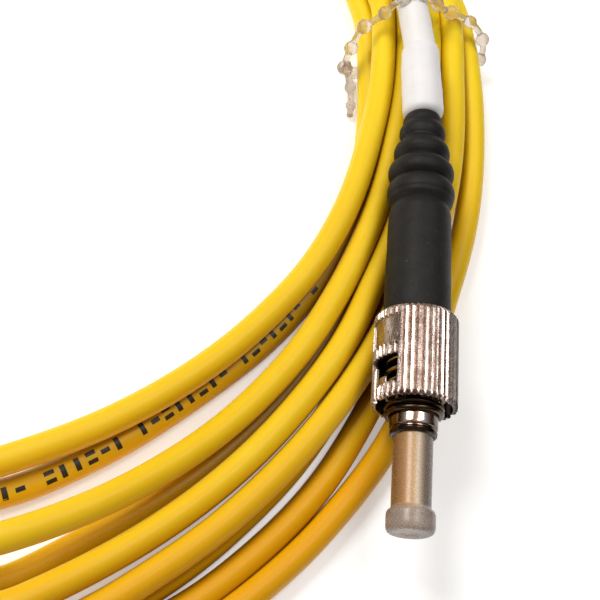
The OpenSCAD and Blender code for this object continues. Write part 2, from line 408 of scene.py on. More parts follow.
def radius_from_axis(nt):
    """distance in mm from the axis of whichever connector the point is nearer to"""
    v = coords(nt)
    sep = node(nt, "ShaderNodeSeparateXYZ")
    nt.links.new(v, sep.inputs[0])
    x = math_node(nt, "SUBTRACT", math_node(nt, "ABSOLUTE", sep.outputs["X"]), CX)
    z = math_node(nt, "SUBTRACT", sep.outputs["Z"], CZ)
    return math_node(nt, "SQRT", math_node(nt, "ADD", math_node(nt, "MULTIPLY", x, x), math_node(nt, "MULTIPLY", z, z))), v, sep


def mat_nut():
    mat, nt, b = new_mat("nickel_nut")
    b.inputs["Metallic"].default_value = 1.0
    rad, v, sep = radius_from_axis(nt)
    n1 = noise(nt, v, 5.0, 4, 0.6)
    n2 = noise(nt, v, 0.7, 3)
    n3 = noise(nt, v, 11.0, 4, 0.7)
    base = ramp(nt, n2, [(0.30, (0.42, 0.33, 0.285)), (0.52, (0.56, 0.46, 0.415)), (0.72, (0.70, 0.62, 0.58))])
    # painted shade: darker brown the nearer the surface lies to the axis, in the grooves, on the panel and most inside
    # the shell
    mx = node(nt, "ShaderNodeMix", data_type="RGBA")
    mx.inputs["B"].default_value = (0.13, 0.082, 0.055, 1)
    nt.links.new(base, mx.inputs["A"])
    low = remap(nt, math_node(nt, "ADD", rad, math_node(nt, "MULTIPLY", math_node(nt, "SUBTRACT", n3, 0.5), 0.06)), 4.21, 4.40, 0.95, 0.0)
    onpanel = math_node(nt, "MULTIPLY", remap(nt, rad, 4.12, 4.16, 0.0, 1.0), remap(nt, rad, 4.235, 4.25, 1.0, 0.0))
    cut = remap(nt, rad, 3.93, 3.97, 1.0, 0.55)          # the walls of the window and the slot get less of the painted shade than the bore
    fac = math_node(nt, "MULTIPLY", low, math_node(nt, "MULTIPLY", cut, remap(nt, onpanel, 0.0, 1.0, 1.7, 0.7)))
    # the walls of the entry slot near the rim get hardly any of the painted shade
    wall = math_node(nt, "MULTIPLY", math_node(nt, "MULTIPLY", remap(nt, rad, 3.93, 3.97, 0.0, 1.0), remap(nt, rad, 4.14, 4.18, 1.0, 0.0)),
                     remap(nt, sep.outputs["Y"], NUT_Y + 1.6, NUT_Y + 1.7, 1.0, 0.0))
    fac = math_node(nt, "MULTIPLY", fac, remap(nt, wall, 0.0, 1.0, 1.0, 0.15))
    nt.links.new(fac, mx.inputs["Factor"])
    # painted shade: the side of the shell away from the middle, the right on connector a, is darkened
    xs = math_node(nt, "SUBTRACT", math_node(nt, "ABSOLUTE", sep.outputs["X"]), CX)
    side = remap(nt, math_node(nt, "ADD", xs, math_node(nt, "MULTIPLY", math_node(nt, "SUBTRACT", n2, 0.5), 0.5)), 2.15, 2.8, 0.0, 0.92)
    dust_and_shade_mix = node(nt, "ShaderNodeMix", data_type="RGBA")
    dust_and_shade_mix.inputs["B"].default_value = (0.055, 0.044, 0.038, 1)
    nt.links.new(mx.outputs["Result"], dust_and_shade_mix.inputs["A"])
    nt.links.new(side, dust_and_shade_mix.inputs["Factor"])
    nt.links.new(dust_and_shade_mix.outputs["Result"], b.inputs["Base Color"])
    nt.links.new(remap(nt, n1, 0.3, 0.7, 0.18, 0.36), b.inputs["Roughness"])
    nrm = bump(nt, b, n1, 0.022, 0.7)
    bump(nt, b, n3, 0.012, 0.7, nrm)
    return mat


def along_axis(nt, sep, stops):
    """a colour by where a point lies across the connector, -1 left to 1 right, in units of 2.5 mm"""
    x = math_node(nt, "MULTIPLY", math_node(nt, "SUBTRACT", sep.outputs["X"], CX), 0.2)
    xb = math_node(nt, "MULTIPLY", math_node(nt, "ADD", sep.outputs["X"], CX), 0.2)
    right_side = math_node(nt, "GREATER_THAN", sep.outputs["X"], 0.0)
    mx = node(nt, "ShaderNodeMix", data_type="FLOAT")
    nt.links.new(right_side, mx.inputs["Factor"])
    nt.links.new(xb, mx.inputs["A"])
    nt.links.new(x, mx.inputs["B"])
    return ramp(nt, math_node(nt, "ADD", mx.outputs["Result"], 0.5), stops)


def mat_barrel():
    """bright plating with painted reflections and painted shade in bands across it, and a painted dark reflection on
    its front lip
    """
    mat, nt, b = new_mat("chromed_brass")
    b.inputs["Metallic"].default_value = 1.0
    rad, v, sep = radius_from_axis(nt)
    n1 = noise(nt, v, 2.5, 3)
    n2 = noise(nt, v, 9.0, 4)
    # painted reflections and shade: bands across the barrel, dark at both edges, pink, orange and pale between
    painted_reflection_tone = along_axis(nt, sep, [(0.0, (0.10, 0.06, 0.03)), (0.10, (0.16, 0.09, 0.05)), (0.20, (0.74, 0.60, 0.48)), (0.30, (0.34, 0.22, 0.15)),
                                (0.42, (0.76, 0.47, 0.34)), (0.55, (0.84, 0.72, 0.66)), (0.68, (0.56, 0.46, 0.41)), (0.82, (0.14, 0.10, 0.08)),
                                (1.0, (0.07, 0.05, 0.04))])
    # painted dark reflection on the front lip
    mx = node(nt, "ShaderNodeMix", data_type="RGBA")
    mx.inputs["B"].default_value = (0.05, 0.032, 0.022, 1)
    nt.links.new(painted_reflection_tone, mx.inputs["A"])
    nt.links.new(remap(nt, math_node(nt, "ADD", sep.outputs["Y"], math_node(nt, "MULTIPLY", n2, 0.06)), NUT_Y - 2.42, NUT_Y - 2.30, 1.0, 0.0),
                 mx.inputs["Factor"])
    nt.links.new(mx.outputs["Result"], b.inputs["Base Color"])
    nt.links.new(remap(nt, n1, 0.3, 0.7, 0.10, 0.20), b.inputs["Roughness"])
    bump(nt, b, n2, 0.008, 0.5)
    return mat


def mat_cap():
    """milky soft plastic, with painted reflections across the tube: orange-brown on one side, a pale highlight streak,
    grey on the other
    """
    mat, nt, b = new_mat("frosted_cap")
    rad, v, sep = radius_from_axis(nt)
    n1 = noise(nt, v, 0.6, 3)
    n2 = noise(nt, v, 6.0, 4)
    # painted reflection of the yellow cord and a painted highlight streak across the tube
    painted_reflection_tone = along_axis(nt, sep, [(0.09, (0.30, 0.16, 0.07)), (0.17, (0.52, 0.29, 0.12)), (0.26, (0.72, 0.42, 0.18)), (0.38, (0.88, 0.54, 0.27)),
                                (0.47, (1.0, 0.81, 0.58)), (0.54, (0.82, 0.64, 0.46)), (0.64, (0.34, 0.265, 0.215)), (0.90, (0.19, 0.165, 0.15))])
    mx = node(nt, "ShaderNodeMix", data_type="RGBA")
    mx.inputs["B"].default_value = (0.42, 0.35, 0.31, 1)
    nt.links.new(painted_reflection_tone, mx.inputs["A"])
    nt.links.new(remap(nt, math_node(nt, "ADD", sep.outputs["Y"], math_node(nt, "MULTIPLY", n1, 0.8)), NUT_Y - 10.7, NUT_Y - 9.9, 0.85, 0.0),
                 mx.inputs["Factor"])
    nt.links.new(mx.outputs["Result"], b.inputs["Base Color"])
    nt.links.new(remap(nt, n2, 0.3, 0.7, 0.22, 0.34), b.inputs["Roughness"])
    b.inputs["Transmission Weight"].default_value = 0.45
    b.inputs["IOR"].default_value = 1.42
    b.inputs["Subsurface Weight"].default_value = 0.25
    b.inputs["Subsurface Radius"].default_value = (1.0, 0.8, 0.6)
    b.inputs["Subsurface Scale"].default_value = 0.0008
    bump(nt, b, n2, 0.006, 0.4)
    return mat


def mat_boot():
    """matt black rubber with a fine grain and a few specks of dust, with painted shade down between the ribs"""
    mat = mat_plain("black_boot", (0.009, 0.008, 0.0072), (0.0150, 0.0130, 0.0116), 0.48, 0.66, 0.8, 7.0, 0.05, spec=0.28)
    nt = mat.node_tree
    b = next(n for n in nt.nodes if n.type == "BSDF_PRINCIPLED")
    base = b.inputs["Base Color"].links[0].from_socket
    v = coords(nt)
    dust_and_shade_mix = node(nt, "ShaderNodeMix", data_type="RGBA")
    dust_and_shade_mix.inputs["B"].default_value = (0.075, 0.062, 0.052, 1)
    nt.links.new(base, dust_and_shade_mix.inputs["A"])
    nt.links.new(remap(nt, noise(nt, v, 3.2, 2, 0.5), 0.71, 0.77, 0.0, 0.8), dust_and_shade_mix.inputs["Factor"])
    # painted shade: nearly black down between the ribs, found by ambient occlusion
    ao = node(nt, "ShaderNodeAmbientOcclusion", samples=8)
    ao.inputs["Distance"].default_value = 1.2 * MM
    rib_shade_mix = node(nt, "ShaderNodeMix", data_type="RGBA")
    rib_shade_mix.inputs["B"].default_value = (0.0015, 0.0013, 0.0012, 1)
    nt.links.new(dust_and_shade_mix.outputs["Result"], rib_shade_mix.inputs["A"])
    nt.links.new(remap(nt, ao.outputs["AO"], 0.85, 0.35, 0.0, 1.0), rib_shade_mix.inputs["Factor"])
    nt.links.new(rib_shade_mix.outputs["Result"], b.inputs["Base Color"])
    return mat


M = {
    "jacket": mat_jacket(),
    "nut": mat_nut(),
    "chrome": mat_barrel(),
    "steel": mat_metal("dark_spring_steel", (0.10, 0.085, 0.07), (0.17, 0.14, 0.11), 0.30, 0.45, 3.0, 0.02),
    "snap": mat_metal("dark_bronze_wire", (0.05, 0.032, 0.018), (0.09, 0.055, 0.03), 0.18, 0.3, 4.0, 0.01),
    "spring": mat_metal("bronze_wire", (0.26, 0.19, 0.11), (0.36, 0.27, 0.16), 0.22, 0.35, 4.0, 0.01),
    "washer": mat_metal("plated_washer", (0.50, 0.48, 0.45), (0.58, 0.56, 0.53), 0.25, 0.4, 3.0, 0.01),
    "crimp": mat_metal("crimp_alloy", (0.58, 0.58, 0.57), (0.66, 0.66, 0.65), 0.3, 0.5, 3.0, 0.03),
    "ceramic": mat_plain("white_ceramic", (0.82, 0.79, 0.72), (0.86, 0.83, 0.77), 0.08, 0.16, 0.5, 8, 0.004, sss=0.2),
    "buffer": mat_plain("buffer_plastic", (0.80, 0.74, 0.56), (0.86, 0.81, 0.64), 0.3, 0.45),
    "boot": mat_boot(),
    "sleeve": mat_plain("white_sleeve", (0.81, 0.80, 0.81), (0.86, 0.85, 0.86), 0.42, 0.55, 0.3, 3.0, 0.03, sss=0.25,
                        sss_radius=(1, 0.8, 0.7), sss_scale=0.0012),
    "label": mat_plain("white_label", (0.84, 0.82, 0.80), (0.88, 0.86, 0.845), 0.36, 0.5, 0.3, 3.0, 0.03, sss=0.2,
                       sss_radius=(1, 0.8, 0.7), sss_scale=0.001),
    "cap": mat_cap(),
    "tie": mat_plain("clear_tie", (0.74, 0.665, 0.60), (0.84, 0.77, 0.71), 0.24, 0.34, 0.5, 3.0, 0.006, trans=0.86, ior=1.33),
    "ink": mat_plain("black_ink", (0.012, 0.010, 0.008), (0.03, 0.024, 0.015), 0.35, 0.5, 2.0, 8.0, 0.01),
}

# ------------------------------------------------------------------ the cord
# Passes on the connector a side, from the one the lead turns into, to the last:
# (angle, radius, height), degrees and mm, about the centre of the round side
PASSES = [
    [(-74, 69.6, 4.6), (-68, 68.6, 4.5), (-62.7, 67.62, 4.4), (-58, 66.65, 4.4), (-52.9, 65.93, 4.4), (-46.9, 64.99, 4.4),
     (-39.8, 64.07, 4.4), (-32.8, 63.39, 4.3), (-25.3, 62.9, 4.2), (-18, 63.2, 4.4), (-10, 63.9, 4.65), (-2, 64.0, 4.9),
     (6, 64.2, 5.15), (14, 65.4, 5.1), (20, 66.5, 5.1)],
    [(-74, 66.4, 6.4), (-66.7, 64.85, 5.5), (-62.3, 64.0, 5), (-57.3, 63.2, 4.6), (-51.9, 62.45, 4.5), (-45.6, 61.64, 4.5),
     (-38.1, 60.76, 4.5), (-28.3, 59.94, 4.45), (-20.0, 59.1, 4.3), (-12, 59.2, 4.1), (-4, 59.6, 4.1), (4, 60.5, 4.3),
     (12, 62, 4.7), (20, 63.5, 5.0)],
    [(-74, 60.3, 8.2), (-69.6, 59.82, 8), (-65.0, 59.36, 7.5), (-60.0, 58.93, 7), (-54.4, 58.33, 6), (-48.0, 57.82, 5.1),
     (-40.6, 57.27, 4.6), (-31.3, 56.75, 4.4), (-26.3, 56.4, 4.4), (-18.5, 56.3, 4.4), (-7.9, 56.6, 4.4), (1.1, 57.36, 4.4),
     (10.1, 58.8, 4.6), (19.2, 60.43, 5.0)],
    [(-74.6, 52.36, 4.5), (-62.5, 51.4, 4.5), (-49.9, 51.22, 4.6), (-34.2, 51.64, 4.6), (-24.1, 52.4, 4.8),
     (-13.7, 52.99, 5), (-3.4, 53.64, 5), (4.6, 54.76, 5), (14.2, 56.27, 5), (18.9, 57.38, 5)],
    [(-69.5, 54.22, 1.5), (-58.7, 53.22, 1.5), (-45.5, 52.49, 1.5), (-31.6, 53.25, 1.5), (-17.5, 54.1, 1.5),
     (-5.1, 54.2, 1.8), (3.3, 54.25, 2.1), (11.2, 54.7, 2.4), (17.7, 55.6, 2.5), (21.0, 56.0, 2.5)],
    [(-70.4, 62.75, 1.5), (-65.8, 61.61, 1.5), (-60.9, 60.68, 1.5), (-55.6, 60.1, 1.5), (-49.7, 59.71, 1.5),
     (-42.9, 59.15, 1.5), (-34, 58.6, 1.5), (-24, 57.7, 1.5), (-12, 57.2, 1.5), (0, 57.1, 1.9), (10, 57.9, 2.4),
     (20, 59.0, 2.5)],
    [(-72, 69.2, 1.5), (-54.6, 66.98, 1.5), (-49.0, 65.91, 1.5), (-42.4, 64.84, 1.5), (-36.5, 63.71, 1.5), (-28, 62.4, 1.5),
     (-18, 61.0, 1.5), (-8, 60.6, 1.5), (2, 60.5, 1.9), (11, 61, 2.4), (20, 62.0, 2.5)],
    [(-72, 71.6, 1.5), (-56.4, 70.9, 1.5), (-50.2, 69.89, 1.5), (-45.4, 69.1, 1.5), (-40.1, 68.12, 1.5), (-35.1, 66.99, 1.5),
     (-26, 65.4, 1.5), (-17, 64.4, 1.5), (-8, 64.0, 1.6), (2, 63.9, 1.9), (11, 64.3, 2.4), (20, 65.1, 2.5)],
    [(-74, 73.9, 1.5), (-62, 73.6, 1.6), (-52.3, 72.7, 1.7), (-49.0, 72.33, 1.6), (-45.2, 71.95, 1.5), (-42.7, 71.59, 1.5),
     (-39.3, 71.21, 1.5), (-35.7, 70.8, 1.5), (-28, 69.5, 1.6), (-16.7, 67.74, 2.0), (-8.1, 67.65, 2.4), (1.1, 67.5, 2.8),
     (8.0, 67.65, 3.2), (14.0, 67.99, 3.3), (19.4, 68.3, 3.2)],
]
# distance outside the middle line, and height, of the nine passes on the connector b side
FAR = [(6.3, 4.2), (2.8, 4.2), (-0.7, 4.2), (-4.2, 4.2), (-5.9, 1.5), (-2.4, 1.5), (1.1, 1.5), (4.6, 1.5), (8.1, 1.5)]
PER_TURN = 144


def monotone(x, y, xq):
    x, y = np.asarray(x, float), np.asarray(y, float)
    h = np.diff(x)
    d = np.diff(y) / h
    mm = np.zeros_like(x)
    for i in range(1, len(x) - 1):
        if d[i - 1] * d[i] > 0:
            w1, w2 = 2 * h[i] + h[i - 1], h[i] + 2 * h[i - 1]
            mm[i] = (w1 + w2) / (w1 / d[i - 1] + w2 / d[i])
    mm[0], mm[-1] = d[0], d[-1]
    k = np.clip(np.searchsorted(x, xq) - 1, 0, len(x) - 2)
    t = (xq - x[k]) / h[k]
    return ((2 * t ** 3 - 3 * t ** 2 + 1) * y[k] + (t ** 3 - 2 * t ** 2 + t) * h[k] * mm[k]
            + (-2 * t ** 3 + 3 * t ** 2) * y[k + 1] + (t ** 3 - t ** 2) * h[k] * mm[k + 1])


# The coil's middle line: a round side (centre, radius) under connector a from -74 to 20
# degrees, then a smaller arc, a straight and another arc under connector b
TOP_C, TOP_R = (1.15, 19.3), 43.0
LOW_C, LOW_R = (-9.05, -11.0), 36.0


def middle(angle):
    """point and outward direction of the middle line at a station in degrees"""
    a = np.asarray(angle, float) % 360
    a = np.where(a > 286, a - 360, a)
    s = (a - 20) / 266
    top_len = math.radians(160) * TOP_R
    end_top = np.array([TOP_C[0] - TOP_R, TOP_C[1]])
    start_low = np.array([LOW_C[0] - LOW_R, LOW_C[1]])
    run = float(np.linalg.norm(start_low - end_top))
    low_len = math.radians(106) * LOW_R
    d = s * (top_len + run + low_len)
    x, y, nx, ny = (np.zeros_like(a) for _ in range(4))

    def arc(sel, c, r, th):
        x[sel], y[sel] = c[0] + r * np.cos(th), c[1] + r * np.sin(th)
        nx[sel], ny[sel] = np.cos(th), np.sin(th)
    sel = a <= 20
    arc(sel, ROUND_C, ROUND_R, np.radians(a[sel]))
    sel = (a > 20) & (d <= top_len)
    arc(sel, TOP_C, TOP_R, np.radians(20) + d[sel] / TOP_R)
    sel = (a > 20) & (d > top_len) & (d <= top_len + run)
    t = (d[sel] - top_len) / run
    x[sel] = end_top[0] + t * (start_low - end_top)[0]
    y[sel] = end_top[1] + t * (start_low - end_top)[1]
    v = (start_low - end_top) / run
    nx[sel], ny[sel] = v[1], -v[0]
    sel = (a > 20) & (d > top_len + run)
    arc(sel, LOW_C, LOW_R, math.pi + (d[sel] - top_len - run) / LOW_R)
    return x, y, nx, ny


def cord_line():
    """centreline of the whole cord, in mm: laid through the listed knots, then pushed apart until no two turns share
    room
    """
    kn = [(18.65, -1.6, 9.0), (25.5, -0.4, 8.8), (31, 0.5, 8.55), (39, 1.6, 8.3), (65, 3.0, 7.6), (95, 4.6, 6.2), (120, 5.8, 4.9)]
    for i, pas in enumerate(PASSES):
        kn += [(360 * i + a, FAR[i][0], FAR[i][1]) for a in (145, 190, 235)]
        kn += [(360 * i + 360 + a, r - ROUND_R, z) for a, r, z in pas]
    e = 360 * len(PASSES)
    kn += [(e + 38, 7.6, 2.3), (e + 60, 7.5, 3.4), (e + 82, 6.6, 5.6), (e + 104, 4.8, 7.9), (e + 126, 3.6, 8.3), (e + 137, 2.7, 8.55),
           (e + 144.3, 1.7, 8.8), (e + 151.5, 0.6, 9.0)]
    kn = np.array(kn, float)
    step = 360 / PER_TURN
    j = np.arange(int(math.ceil(kn[0, 0] / step)), int(math.floor(kn[-1, 0] / step)) + 1)
    ang = j * step
    R, Z = monotone(kn[:, 0], kn[:, 1], ang), monotone(kn[:, 0], kn[:, 2], ang)
    phi = (ang + 180) % 360 - 180
    seen = (phi > -72) & (phi < 19)
    R0, Z0 = R.copy(), Z.copy()
    col = j % PER_TURN
    rows = [np.where(col == c)[0] for c in range(PER_TURN)]
    mx = max(len(i) for i in rows)
    I = np.full((PER_TURN, mx), -1)
    for c, i in enumerate(rows):
        I[c, :len(i)] = i
    valid = I >= 0
    ok = valid[:, :, None] & valid[:, None, :] & ~np.eye(mx, dtype=bool)[None]
    low = np.full_like(phi, JACKET_R)
    for c in (17.0, 159.0):                      # the ties pass beneath the turns here
        low += 0.85 * np.exp(-(((phi % 360) - c) / 7.0) ** 2)
    keep = np.where(seen, 0.25, 0.004)
    for it in range(420):
        r, z = np.where(valid, R[I], 0), np.where(valid, Z[I], 0)
        dr, dz = r[:, :, None] - r[:, None, :], z[:, :, None] - z[:, None, :]
        d = np.sqrt(dr ** 2 + dz ** 2) + 1e-9
        ov = np.where(ok, np.clip(2 * JACKET_R + 0.05 - d, 0, None), 0)
        pr, pz = (ov * dr / d * 0.45).sum(2), (ov * dz / d * 0.45).sum(2)
        np.add.at(R, I[valid], pr[valid])
        np.add.at(Z, I[valid], pz[valid])
        Z -= np.where(seen, 0.0, 0.01)
        Z = np.maximum(Z, low)
        R[1:-1] += 0.3 * ((R[:-2] + R[2:]) / 2 - R[1:-1])
        Z[1:-1] += 0.3 * ((Z[:-2] + Z[2:]) / 2 - Z[1:-1])
        R += keep * (R0 - R)
        Z += keep * (Z0 - Z)
        R[:3], Z[:3], R[-3:], Z[-3:] = R0[:3], Z0[:3], R0[-3:], Z0[-3:]
    x, y, nx, ny = middle(ang)
    return np.c_[x + R * nx, y + R * ny, Z], ang


LINE, ANG = cord_line()
fine = smooth_line(LINE, 0.95)
cord = tube("patch_cord", fine, JACKET_R, 28, M["jacket"])
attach(cord, "cord")
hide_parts("cord_coil", "cord_lead_a", "cord_lead_b")


# a run of plain dashes and blocks printed along one turn, as thin patches that follow its surface
def print_marks(name, line, s_from, s_to, mat):
    L = np.concatenate([[0], np.cumsum(np.linalg.norm(np.diff(line, axis=0), axis=1))])
    T = np.gradient(line, axis=0)
    T /= np.linalg.norm(T, axis=1)[:, None]
    look = np.array([-0.30, -0.46, 0.84])
    look /= np.linalg.norm(look)
    rng = np.random.default_rng(4)
    verts, faces = [], []

    def patch(s0, s1, w0, w1):
        ns, nw = max(2, int(math.ceil((s1 - s0) / 0.25)) + 1), max(2, int(math.ceil((w1 - w0) / 0.2)) + 1)
        i0 = len(verts)
        for R in (JACKET_R + 0.012, JACKET_R - 0.03):
            for i in range(ns):
                s = s0 + (s1 - s0) * i / (ns - 1)
                c = np.array([np.interp(s, L, line[:, q]) for q in range(3)])
                t = np.array([np.interp(s, L, T[:, q]) for q in range(3)])
                t /= np.linalg.norm(t)
                up = look - np.dot(look, t) * t
                up /= np.linalg.norm(up)
                sd = np.cross(t, up)
                for k in range(nw):
                    a = (w0 + (w1 - w0) * k / (nw - 1)) / JACKET_R
                    verts.append(tuple(c + R * (math.cos(a) * up + math.sin(a) * sd)))
        m = ns * nw
        for i in range(ns - 1):
            for k in range(nw - 1):
                q = [i0 + i * nw + k, i0 + (i + 1) * nw + k, i0 + (i + 1) * nw + k + 1, i0 + i * nw + k + 1]
                faces.append(tuple(q))
                faces.append(tuple(m + v for v in reversed(q)))
        rim = [(i, 0) for i in range(ns)] + [(ns - 1, k) for k in range(1, nw)] + [(i, nw - 1) for i in range(ns - 2, -1, -1)] \
            + [(0, k) for k in range(nw - 2, 0, -1)]
        for (a, b), (c, d) in zip(rim, rim[1:] + rim[:1]):
            p, q = i0 + a * nw + b, i0 + c * nw + d
            faces.append((p, q, m + q, m + p))

    s = s_from
    kinds = "|=-|=|- =||=-| |-=||=|- "
    i = 0
    while s < s_to:
        kind = kinds[i % len(kinds)]
        i += 1
        if kind == " ":
            s += 1.5
            continue
        if kind == "|":
            patch(s + 0.25, s + 0.8, -0.66, 0.66)
        elif kind == "=":
            patch(s + 0.05, s + 1.1, 0.22, 0.66)
            patch(s + 0.05, s + 1.1, -0.66, -0.22)
        else:
            patch(s + 0.1, s + 1.05, -0.24, 0.24)
        s += 1.42 + 0.1 * rng.uniform()
    return mesh_obj(name, verts, faces, mat, sharp=40)


LFINE = np.concatenate([[0], np.cumsum(np.linalg.norm(np.diff(LINE, axis=0), axis=1))])
turn4 = 360 * 5                               # the turn that lies lowest on the inside
marks = print_marks("jacket_dashes", LINE, float(np.interp(turn4 - 78, ANG, LFINE)), float(np.interp(turn4 - 26, ANG, LFINE)), M["ink"])
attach(marks, "cord")

# ------------------------------------------------------------------ the connectors
def smooth01(t):
    t = np.clip(t, 0, 1)
    return t * t * (3 - 2 * t)


def rough(a, u, seed, fa, fu):
    """a smooth uneven pattern between -1 and 1 from a few fixed waves"""
    rng = np.random.default_rng(seed)
    v = np.zeros(np.broadcast(a, u).shape)
    for _ in range(9):
        v += np.sin(fa * rng.uniform(0.4, 1.6) * a * rng.choice([-1, 1]) + fu * rng.uniform(0.4, 1.6) * u
                    + rng.uniform(0, 6.28)) * rng.uniform(0.5, 1.0)
    return v / 4.5


KNURLS, NUT_R, NUT_L = 40, 4.5, 10.1


def coupling_nut(name, side, mat):
    """knurled shell pierced on both sides by the bayonet's window and entry slot, with a plain panel behind each"""
    n = 480
    deg = np.arange(n) * 360 / n                     # from +Z towards -X
    us = np.array([0, .05, .11, .18, .26, .34, .42, .55, .8, 1.1, 1.4, 1.55, 1.68, 1.9, 2.15, 2.3, 2.6, 3.0, 3.4, 3.75, 4.1, 4.4,
                   4.6, 4.7, 5.1, 5.5, 5.83, 5.92, 6.0, 6.15, 6.35, 6.55, 6.75, 6.95, 7.15, 7.35, 7.55, 7.75, 7.95, 8.15, 8.35,
                   8.55, 8.75, 8.93, 9.03, 9.12, 9.3, 9.6, 9.8, 9.9, 9.97, 10.03, 10.08, 10.1])
    D, U = np.meshgrid(deg, us)
    h = D % 180                                      # both sides alike
    p = (D / (360 / KNURLS)) % 1.0
    g = np.minimum(p, 1 - p)
    tip = smooth01((0.55 - U) / 0.55)                # the knurls run out to points at the front rim
    r = NUT_R - (0.27 + 0.20 * tip) * (1 - np.clip(g / (0.36 + 0.10 * tip), 0, 1)) - 0.05 * (2 * np.abs(p - 0.5)) ** 2
    r += 0.016 * rough(np.radians(D), U, 5, 26, 4.0) + 0.010 * rough(np.radians(D), U, 6, 60, 11.0)
    panel = smooth01((h - 40) / 1.4) * smooth01((105 - h) / 1.4) * smooth01((U - 5.83) / 0.16) * smooth01((9.12 - U) / 0.16)
    # worn cast marks on the panel, no shape in particular
    cast = 0.05 * np.clip(rough(np.radians(D), U, 11, 30, 5.5), 0.15, 1) + 0.02 * rough(np.radians(D), U, 12, 70, 13)
    r = r * (1 - panel) + (4.17 + cast) * panel
    lug = (h > 61) & (h < 76.2) & (U > 1.5) & (U < 2.4)
    r = np.where(lug, 4.3 + 0.01 * rough(np.radians(D), U, 9, 30, 5), r)
    r = np.minimum(r, NUT_R - 0.02 - np.clip(0.12 - U, 0, 1) * 0.8)
    r = np.minimum(r, NUT_R - 0.03 - np.clip(U - 9.83, 0, 1) * 0.85)
    rows = len(us)
    cd = (deg + 180 / n) % 180                       # middle of each cell
    cu = (us[:-1] + us[1:]) / 2
    CD, CU = np.meshgrid(cd, cu)
    hole = (CD > 43.4) & (CD < 90) & (CU > 1.55) & (CU < 4.6)
    hole &= ~((CD > 61.4) & (CD < 75.8) & (CU < 2.3))
    hole |= (CD > 78) & (CD < 90) & (CU < 1.6)
    hole |= (CD >= 90) & (CD < 103.6) & (CU > 3.75) & (CU < 4.6)
    solid = ~hole
    wall_rows = int(np.searchsorted(us, 5.1))        # the inner wall has its own rows up to here
    # edges round the holes are eased a little
    near = np.zeros_like(r, bool)
    for j in range(wall_rows):
        for k in range(n):
            if hole[j, k]:
                near[j:j + 2, k] = True
                near[j:j + 2, (k + 1) % n] = True
    r = np.where(near, r - 0.05, r)
    ri = np.interp(us, [0, 0.06, 0.6], [3.98, 3.97, 3.9])
    verts, faces = [], []

    def ring(u, rad):
        i0 = len(verts)
        rad = np.broadcast_to(rad, (n,))
        for k in range(n):
            a = math.radians(deg[k])
            verts.append(seat(side, u, -rad[k] * math.sin(a), rad[k] * math.cos(a)))
        return i0
    O = [ring(us[j], r[j]) for j in range(rows)]
    I = [ring(us[j], ri[j]) for j in range(wall_rows + 1)]
    for j in range(rows - 1):
        for k in range(n):
            k2 = (k + 1) % n
            if solid[j, k]:
                faces.append((O[j] + k, O[j] + k2, O[j + 1] + k2, O[j + 1] + k))
                if j < wall_rows:
                    faces.append((I[j] + k, I[j + 1] + k, I[j + 1] + k2, I[j] + k2))
    for j in range(wall_rows + 1):
        for k in range(n):
            k2, kp = (k + 1) % n, (k - 1) % n
            if j < wall_rows and solid[j, k] != solid[j, kp]:
                faces.append((O[j] + k, O[j + 1] + k, I[j + 1] + k, I[j] + k))
            above = solid[j - 1, k] if j > 0 else False
            below = solid[j, k] if j < wall_rows else above
            if above != below:
                faces.append((O[j] + k, O[j] + k2, I[j] + k2, I[j] + k))
    back = [ring(u, rr) for u, rr in ((8.5, 3.9), (8.6, 3.8), (8.6, 2.68), (8.68, 2.62), (9.28, 2.62), (9.36, 2.68), (9.36, 3.72),
                                      (9.42, 3.78), (10.0, 3.78), (10.1, 3.86))]
    chain = [I[wall_rows]] + back + [O[-1]]
    for A, B in zip(chain[:-1], chain[1:]):
        for k in range(n):
            k2 = (k + 1) % n
            faces.append((A + k, B + k, B + k2, A + k2))
    used = sorted({i for f in faces for i in f})
    new = {o: i for i, o in enumerate(used)}
    return mesh_obj(name, [verts[i] for i in used], [tuple(new[i] for i in f) for f in faces], mat, sharp=42)


def ring_of(side, u, radius, n=72, tilt=0.0):
    a = 2 * np.pi * np.arange(n) / n
    return np.array([seat(side, u + tilt * math.sin(t), radius * math.sin(t), radius * math.cos(t)) for t in a])


BOOT = [(9.55, 2.75), (9.55, 3.4), (9.62, 3.52), (9.8, 3.6), (10.4, 3.62), (14, 3.59), (18, 3.55), (21.5, 3.51), (22.9, 3.48),
        (23.5, 3.32), (23.9, 3.18), (24.15, 3.34), (24.5, 3.6), (24.75, 3.66), (24.95, 3.66), (25.05, 3.74), (25.5, 3.81),
        (26.0, 3.80), (26.5, 3.66), (26.9, 3.34), (27.1, 3.12), (27.3, 3.3), (27.6, 3.58), (28.0, 3.72), (28.5, 3.74), (29.0, 3.62),
        (29.5, 3.2), (29.8, 2.84), (30.05, 2.76), (30.3, 2.96), (30.8, 3.19), (31.3, 3.2), (31.8, 3.06), (32.3, 2.62),
        (32.6, 2.38), (32.85, 2.34), (33.15, 2.52), (33.7, 2.67), (34.2, 2.64), (34.6, 2.46), (34.85, 2.32), (35.05, 2.27),
        (35.5, 2.27), (35.9, 2.19), (36.2, 2.03), (36.45, 1.75), (36.56, 1.55), (36.3, 1.5), (30, 1.55), (24, 2.1), (21.9, 2.4),
        (11.4, 2.42), (11.2, 2.75)]


def boot_wobble(side):
    def f(a, u, r):
        w = 0.012 * math.sin(3 * a + 0.9 * u) + 0.010 * math.sin(5 * a - 1.7 * u + 1.3)
        # a nick of flash on the right of the plain part
        w += 0.16 * math.exp(-((a - 1.62) / 0.05) ** 2 - ((u - 18.9) / 0.22) ** 2)
        return w if r > 1.9 else 0.0
    return f


def densify(outline, step):
    out = []
    for (u0, r0), (u1, r1) in zip(outline, outline[1:] + outline[:1]):
        k = max(1, int(round(math.hypot(u1 - u0, r1 - r0) / step)))
        for j in range(k):
            out.append((u0 + (u1 - u0) * j / k, r0 + (r1 - r0) * j / k))
    return out


